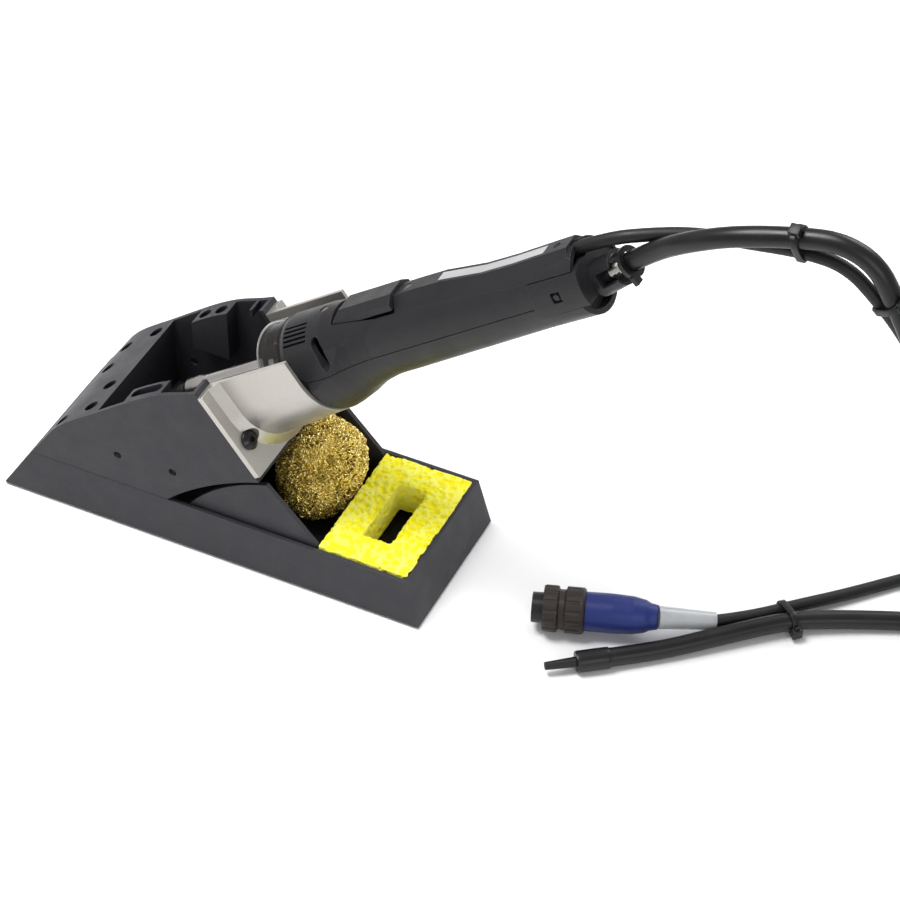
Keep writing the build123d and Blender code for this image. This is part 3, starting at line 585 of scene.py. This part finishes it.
def make_wool(wire, shadow):
    low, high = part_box("brass_wool")
    middle = (low + high) / 2
    half = (high - low) / 2
    rng = random.Random(11)
    noise.seed_set(11)
    data = bpy.data.curves.new("wool_curls", "CURVE")
    data.dimensions = "3D"
    data.bevel_depth = 0.08 * MM
    data.extrude = 0.3 * MM
    data.bevel_resolution = 0
    data.resolution_u = 1
    for _ in range(STRANDS):
        heading = Vector([rng.gauss(0, 1) for _ in range(3)]).normalized()
        sweep = heading.cross(Vector([rng.gauss(0, 1) for _ in range(3)])).normalized()
        depth = rng.choice((1.0, 0.99, 0.97, 0.94, 0.9)) - rng.uniform(0, 0.03)
        curl = rng.uniform(0.9, 1.5) * MM
        turn_rate = rng.uniform(0.85, 1.15)
        phase = rng.uniform(0, math.tau)
        count = rng.randint(70, 130)
        drift = rng.uniform(0.36, 0.55) * MM
        spline = data.splines.new("NURBS")
        spline.points.add(count - 1)
        for step in range(count):
            bend = noise.noise_vector(heading * 1.4)
            sweep = (sweep + bend * 0.22 - heading * sweep.dot(heading)).normalized()
            heading = (heading + sweep * (drift / half.x)).normalized()
            side = heading.cross(sweep).normalized()
            angle = phase + step * turn_rate
            place = Vector((heading.x * half.x, heading.y * half.y, heading.z * half.z))
            fold = noise.noise(heading * 2.3) * 0.045 + noise.noise(heading * 5.5 + bend) * 0.03
            place *= (depth + fold - 0.03) * wool_reach(heading)
            place -= heading * curl * (1.0 - math.cos(angle)) * 0.9
            place += side * curl * math.sin(angle)
            spline.points[step].co = (*(middle + place), 1)
            spline.points[step].tilt = angle * 0.6
        spline.order_u = 4
        spline.use_endpoint_u = True
    curls = bpy.data.objects.new("wool_curls", data)
    scene.collection.objects.link(curls)
    bm = bmesh.new()
    bmesh.ops.create_icosphere(bm, subdivisions=5, radius=1)
    for vertex in bm.verts:
        bump = 0.84 + 0.05 * noise.noise(vertex.co * 3) + 0.035 * noise.noise(vertex.co * 9)
        bump *= wool_reach(vertex.co.normalized())
        stretched = Vector((vertex.co.x * half.x, vertex.co.y * half.y, vertex.co.z * half.z))
        vertex.co = middle + stretched * bump
    core = mesh_object("wool_core", bm)
    finish_piece(core, "stand", "brass_wire", shadow, "brass_wool")
    finish_piece(curls, "stand", "brass_wire", wire)


# ---- the bright front edge of the smoked ring: a pale ring, a painted highlight of that edge
EDGE_RADIUS = 19.75
EDGE_PLACE = 183.3
EDGE_WIDTH = 0.62
EDGE_DEPTH = 0.35


def make_ring_edge(material):
    bm = bmesh.new()
    rounds = 96
    section = 10
    loops = []
    for turn in range(rounds):
        angle = turn * math.tau / rounds
        loop = []
        for step in range(section):
            bend = step * math.tau / section
            radius = EDGE_RADIUS + EDGE_WIDTH * math.cos(bend)
            along = EDGE_PLACE + EDGE_DEPTH * math.sin(bend)
            loop.append(bm.verts.new(on_hand(radius * math.cos(angle), radius * math.sin(angle), along)))
        loops.append(loop)
    for first, second in zip(loops, loops[1:] + loops[:1]):
        for i in range(section):
            j = (i + 1) % section
            bm.faces.new([first[i], first[j], second[j], second[i]])
    bmesh.ops.recalc_face_normals(bm, faces=bm.faces)
    return finish_piece(mesh_object("ring_edge_highlight", bm), "iron", "smoked_clear", material)


# ---- cable ties
TIE_WIDTH = 3.4
TIE_TAIL = 2.4
COIL_TIE_TAIL = 4.0
STRAP_INSIDE = 0.15
STRAP_OUTSIDE = 1.35
STRAP_POINTS = 56
COIL_REACH = 0.062


def half_hull(side):
    out = []
    for p in side:
        while len(out) > 1 and ((out[-1][0] - out[-2][0]) * (p[1] - out[-2][1])
                                - (out[-1][1] - out[-2][1]) * (p[0] - out[-2][0])) <= 0:
            out.pop()
        out.append(p)
    return out[:-1]


def hull(points):
    points = sorted(set(points))
    return half_hull(points) + half_hull(points[::-1])


def tie_outline(circles, gap):
    points = []
    for x, y, radius in circles:
        for step in range(40):
            angle = step * math.tau / 40
            points.append((x + (radius + gap) * math.cos(angle), y + (radius + gap) * math.sin(angle)))
    return hull(points)


def strap_points(circles, gap):
    """The same number of points round either side of a strap, by direction."""
    outline = tie_outline(circles, gap)
    cx = sum(c[0] for c in circles) / len(circles)
    cy = sum(c[1] for c in circles) / len(circles)
    found = []
    for step in range(STRAP_POINTS):
        angle = step * math.tau / STRAP_POINTS
        ray = Vector((math.cos(angle), math.sin(angle)))
        best = 0
        for (ax, ay), (bx, by) in zip(outline, outline[1:] + outline[:1]):
            edge = Vector((bx - ax, by - ay))
            start = Vector((ax - cx, ay - cy))
            cross = ray.x * edge.y - ray.y * edge.x
            if abs(cross) < 1e-9:
                continue
            reach = (start.x * edge.y - start.y * edge.x) / cross
            share = (start.x * ray.y - start.y * ray.x) / cross
            if reach > 0 and -1e-6 <= share <= 1 + 1e-6:
                best = max(best, reach)
        found.append((cx + ray.x * best, cy + ray.y * best))
    return found


def make_tie(name, place, across, along, circles, lock_turn, tail):
    """A cable tie: a flat strap round the circles, with its lock and a cut tail."""
    out = along.cross(across).normalized()
    bm = bmesh.new()
    inner = strap_points(circles, STRAP_INSIDE)
    outer = strap_points(circles, STRAP_OUTSIDE)
    side = TIE_WIDTH / 2

    def at(x, y, z):
        return place + (across * x + out * y + along * z) * MM

    rings = []
    for outline, z in ((inner, -side), (outer, -side), (outer, side), (inner, side)):
        rings.append([bm.verts.new(at(x, y, z)) for x, y in outline])
    for first, second in zip(rings, rings[1:] + rings[:1]):
        for i in range(STRAP_POINTS):
            j = (i + 1) % STRAP_POINTS
            bm.faces.new([first[i], first[j], second[j], second[i]])
    angle = math.radians(lock_turn)
    edge = outer[round(lock_turn / 360 * STRAP_POINTS) % STRAP_POINTS]
    radial = (across * math.cos(angle) + out * math.sin(angle)).normalized()
    tangent = along.cross(radial).normalized()
    middle = at(edge[0], edge[1], 0) + radial * 1.0 * MM
    turn = Matrix((tangent, radial, along)).transposed()
    lock = (5.2, 3.4, TIE_WIDTH + 1.8)
    end = (tail, 1.1, TIE_WIDTH - 0.5)
    for size, shift in ((lock, Vector()), (end, tangent * (2 + tail / 2) * MM)):
        for vertex in bmesh.ops.create_cube(bm, size=1)["verts"]:
            sized = Vector(part * length for part, length in zip(vertex.co, size))
            vertex.co = middle + shift + turn @ sized * MM
    bmesh.ops.recalc_face_normals(bm, faces=bm.faces)
    return rounded(mesh_object(name, bm), 0.3, 2, 30)


def nearest(line, place):
    return min(range(len(line)), key=lambda i: (line[i] - place).length)


def tie_pair(name, lead, hose, near, lock_turn, material, replaced):
    """A tie round the lead and the hose, where they pass a place."""
    i = nearest(lead, near)
    j = nearest(hose, lead[i])
    along = (lead[min(i + 2, len(lead) - 1)] - lead[max(i - 2, 0)]).normalized()
    across = hose[j] - lead[i]
    across -= along * across.dot(along)
    gap = across.length / MM
    place = (lead[i] + hose[j]) / 2
    circles = [(-gap / 2, 0, LEAD_DIAMETER / 2), (gap / 2, 0, HOSE_DIAMETER / 2)]
    made = make_tie(name, place, across.normalized(), along, circles, lock_turn, TIE_TAIL)
    return finish_piece(made, "iron", "inner_black", material, replaced)


def coil_tie(name, line, centre, angle, diameter, material):
    """A tie round the stacked turns of a coil."""
    ray = Vector((math.cos(math.radians(angle)), math.sin(math.radians(angle)), 0))
    passes = []
    for a, b in zip(line, line[1:]):
        da, db = a - centre, b - centre
        side_a = da.x * ray.y - da.y * ray.x
        side_b = db.x * ray.y - db.y * ray.x
        if side_a * side_b <= 0 and da.dot(ray) > 0 and da.xy.length < COIL_REACH:
            passes.append(a.lerp(b, side_a / (side_a - side_b) if side_a != side_b else 0))
    place = sum(passes, Vector()) / len(passes)
    circles = []
    for p in passes:
        circles.append(((p - place).z / MM, (p - place).dot(ray) / MM, diameter / 2))
    along = Vector((0, 0, 1)).cross(ray).normalized()
    made = make_tie(name, place, Vector((0, 0, 1)), along, circles, 100, COIL_TIE_TAIL)
    return finish_piece(made, "iron", "inner_black", material)


def make_cords(look):
    lead = smooth_curve("power_lead", LEAD_DOWN + coil_points(**LEAD_COIL) + LEAD_BACK, LEAD_DIAMETER)
    hose = smooth_curve("air_hose", HOSE_DOWN + coil_points(**HOSE_COIL) + HOSE_BACK, HOSE_DIAMETER)
    lead_line = centre_line(lead)
    hose_line = centre_line(hose)
    black = look["inner_black"]
    ties = [tie_pair(name, lead_line, hose_line, spot(*near), turn, black, node) for name, near, turn, node in (
        ("cord_tie_first", (404, 0, 268), 8, "tie_first"),
        ("cord_tie_second", (442, 0, 252), 8, "tie_second"),
        ("cord_tie_bench", (398, 45, 2), 350, "tie_bench"))]
    lead_ties = [coil_tie(f"lead_coil_tie_{index}", lead_line, spot(*LEAD_COIL["middle"], 0), angle,
                          LEAD_DIAMETER, black) for index, angle in enumerate((20, 200))]
    hose_ties = [coil_tie(f"hose_coil_tie_{index}", hose_line, spot(*HOSE_COIL["middle"], 0), angle,
                          HOSE_DIAMETER, black) for index, angle in enumerate((0, 180))]
    finish_piece(lead, "iron", "cord_jacket", look["cord_jacket"],
                 "power_cord_upper", "power_cord_coil", "power_cord_lower")
    finish_piece(hose, "iron", "hose_rubber", look["hose_rubber"],
                 "air_hose_upper", "air_hose_coil", "air_hose_lower")
    print("lead", line_length(lead_line), "hose", line_length(hose_line))


# ---- stage
def make_stage():
    bm = bmesh.new()
    bmesh.ops.create_grid(bm, x_segments=8, y_segments=8, size=4)
    floor = mesh_object("floor", bm)
    look = Look("floor_paper", (0.9, 0.9, 0.9), 0.9)
    look.tint(look.span(look.noise(3, 2), 0.3, 0.7, 0, 1), (0.92, 0.92, 0.92))
    look.set(Specular_IOR_Level=0.1)
    floor.data.materials.append(look.material)
    world = bpy.data.worlds.new("studio")
    world.use_nodes = True
    world.node_tree.nodes["Background"].inputs["Color"].default_value = (1, 1, 1, 1)
    world.node_tree.nodes["Background"].inputs["Strength"].default_value = 0.5
    scene.world = world
    lamps = [
        ("key", (-0.35, -0.15, 1.5), 0.8, 26.0, (0.1, 0, 0.1)),
        ("fill", (1.3, -1.2, 0.9), 1.0, 6.0, (0.1, 0, 0.1)),
        ("back", (0.5, 1.5, 1.2), 1.1, 13.0, (0.15, 0, 0.15)),
    ]
    for name, place, size, power, target in lamps:
        lamp = bpy.data.lights.new(name, "AREA")
        lamp.shape = "DISK"
        lamp.size = size
        lamp.energy = power
        made = bpy.data.objects.new(name, lamp)
        scene.collection.objects.link(made)
        made.location = place
        made.rotation_euler = (Vector(target) - Vector(place)).to_track_quat("-Z", "Y").to_euler()
    scene.view_settings.view_transform = "Standard"
    scene.view_settings.look = "None"
    scene.view_settings.exposure = 0


def paint_nodes(look):
    """Give each carried-over node the material of its slot."""
    for part in frame["record"]["subparts"]:
        made = nodes[part["node"]]
        # the shell screws take the dark copper with painted recess shade and a painted glint
        material = look.get("screw_shade_and_glint" if part["node"] == "shell_screws" else part["material_slot"])
        if made.hide_render or material is None:
            continue
        made.data.materials.clear()
        made.data.materials.append(material)


make_camera()
looks = make_materials()
make_cords(looks)
make_stage()
make_sponge(looks["sponge_foam"])
make_wool(looks["brass_wire"], looks["brass_shadow"])
make_ring_edge(looks["painted_edge_highlight"])
paint_nodes(looks)
